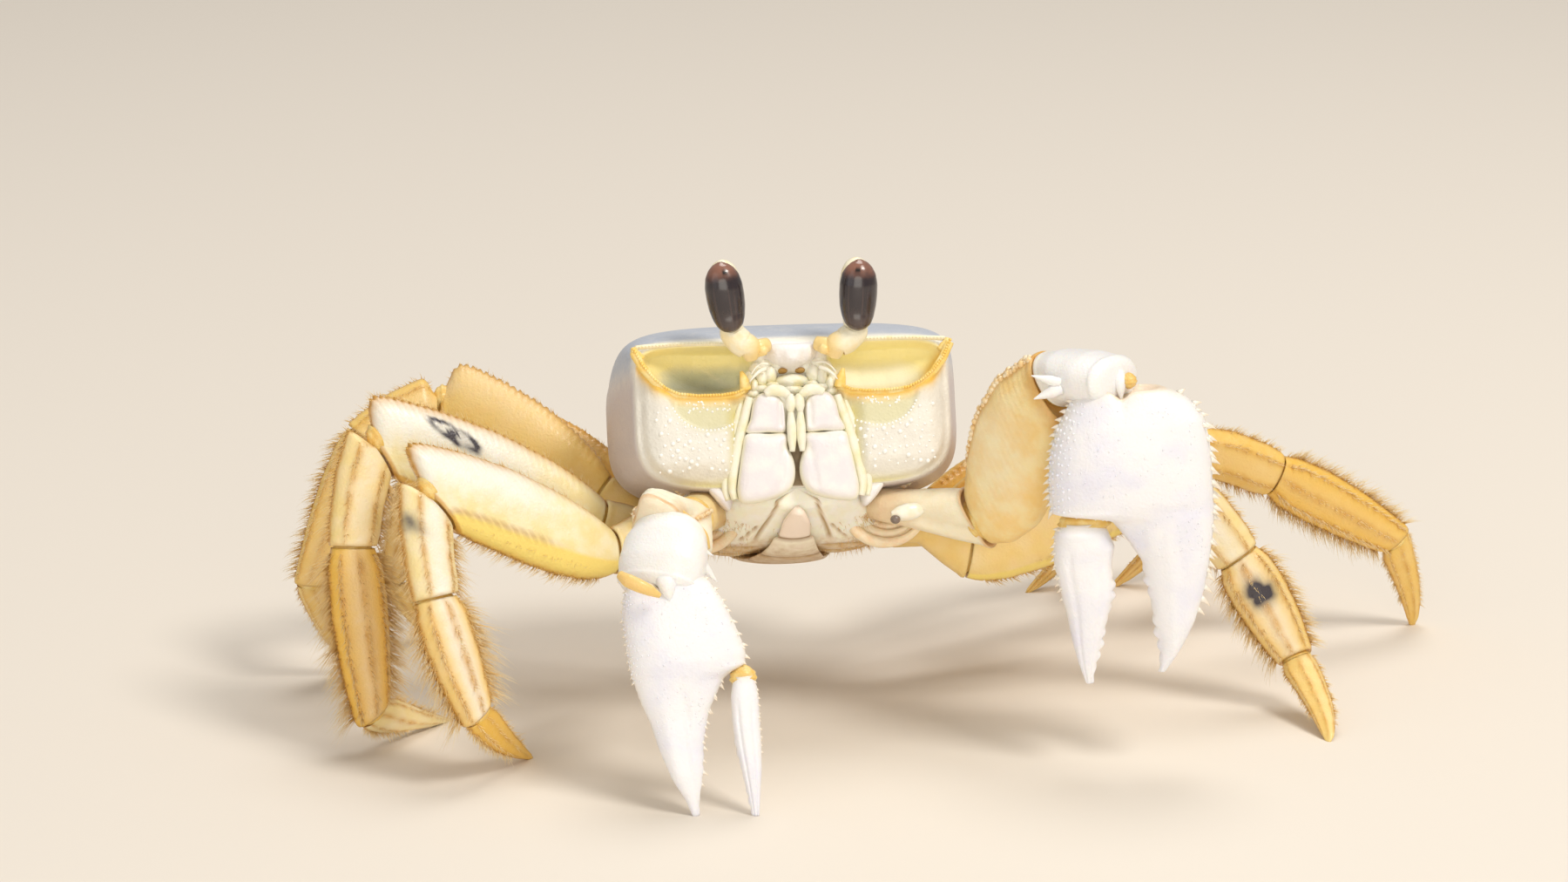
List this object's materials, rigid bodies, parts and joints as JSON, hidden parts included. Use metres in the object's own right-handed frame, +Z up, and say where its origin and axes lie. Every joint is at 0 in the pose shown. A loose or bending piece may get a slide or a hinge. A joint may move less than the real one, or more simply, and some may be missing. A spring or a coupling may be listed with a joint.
{
  "type": "ghost crab",
  "caption": "Life-size ghost crab standing alert on its walking legs and the tips of its smaller claw, with a boxy carapace, upright stalked eyes and unequal claws.",
  "frame": {"origin": "on the floor, under the middle of the box round the whole crab", "axes": "the crab faces -Y, its left side is towards +X, and +Z is up"},
  "size_m": [0.1505, 0.0864, 0.06],
  "materials": {
    "back": "finely granular shell, satin",
    "underside": "smooth shell, satin",
    "mouth": "smooth shell, satin",
    "stalk": "smooth shell, satin",
    "eye": "wet gloss",
    "claw": "finely granular shell, satin",
    "arm": "translucent shell, satin",
    "leg": "translucent shell, satin"
  },
  "bodies": {
    "root": {"leg2_ischium_left": "leg", "leg2_merus_left": "leg", "leg2_carpus_left": "leg", "leg2_propodus_left": "leg", "leg2_dactyl_left": "leg", "leg3_ischium_left": "leg", "leg3_merus_left": "leg", "leg3_carpus_left": "leg", "leg3_propodus_left": "leg", "leg3_dactyl_left": "leg", "leg4_ischium_left": "leg", "leg4_merus_left": "leg", "leg4_carpus_left": "leg", "leg4_propodus_left": "leg", "leg4_dactyl_left": "leg", "leg5_ischium_left": "leg", "leg5_merus_left": "leg", "leg5_carpus_left": "leg", "leg5_propodus_left": "leg", "leg5_dactyl_left": "leg", "leg2_ischium_right": "leg", "leg2_merus_right": "leg", "leg2_carpus_right": "leg", "leg2_propodus_right": "leg", "leg2_dactyl_right": "leg", "leg3_ischium_right": "leg", "leg3_merus_right": "leg", "leg3_carpus_right": "leg", "leg3_propodus_right": "leg", "leg3_dactyl_right": "leg", "leg4_ischium_right": "leg", "leg4_merus_right": "leg", "leg4_carpus_right": "leg", "leg4_propodus_right": "leg", "leg4_dactyl_right": "leg", "leg5_ischium_right": "leg", "leg5_merus_right": "leg", "leg5_carpus_right": "leg", "leg5_propodus_right": "leg", "leg5_dactyl_right": "leg", "minor_claw_ischium": "arm", "minor_claw_merus": "arm", "minor_claw_carpus": "claw", "minor_claw_hand": "claw", "minor_claw_finger": "claw", "major_claw_ischium": "arm", "major_claw_merus": "arm", "major_claw_carpus": "claw", "major_claw_hand": "claw", "major_claw_finger": "claw", "carapace": "back", "front": "back", "sternum": "underside", "abdomen": "underside", "maxilliped_left": "mouth", "maxilliped_right": "mouth", "eyestalk_left": "stalk", "eyestalk_right": "stalk", "eye_left": "eye", "eye_right": "eye"}
  },
  "joints": []
}
